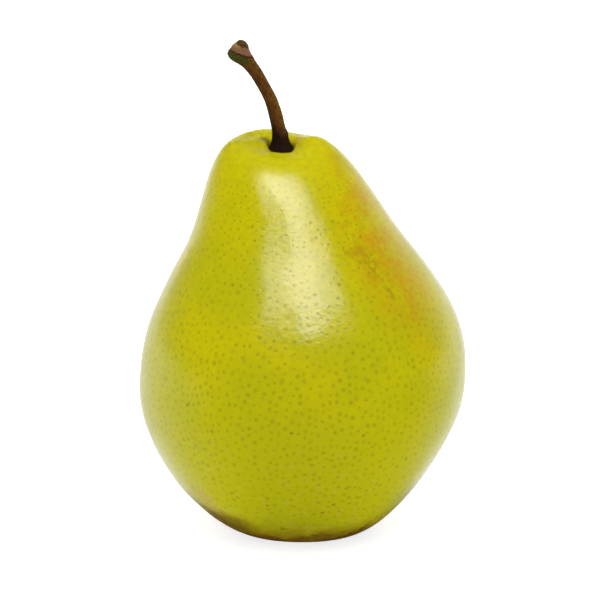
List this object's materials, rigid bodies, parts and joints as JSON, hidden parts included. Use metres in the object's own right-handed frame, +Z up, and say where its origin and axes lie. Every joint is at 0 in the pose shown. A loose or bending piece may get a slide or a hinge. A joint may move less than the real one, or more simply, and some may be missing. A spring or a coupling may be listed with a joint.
{
  "type": "pear",
  "caption": "Whole pear with a broad belly, sloping shoulders and a curved woody stem, standing on its base, with a dried calyx in the eye underneath.",
  "frame": {"origin": "on the surface the pear stands on, under the middle of its outline as seen from above", "axes": "+Z up along the fruit, +X to the right and -Y towards the viewer of the picture; the stem bends towards -X"},
  "size_m": [0.0792, 0.0774, 0.1201],
  "materials": {
    "skin": "satin",
    "bark": "matte",
    "dried_sepal": "matte"
  },
  "bodies": {
    "root": {"fruit": "skin", "stem": "bark", "calyx": "dried_sepal"}
  },
  "joints": []
}
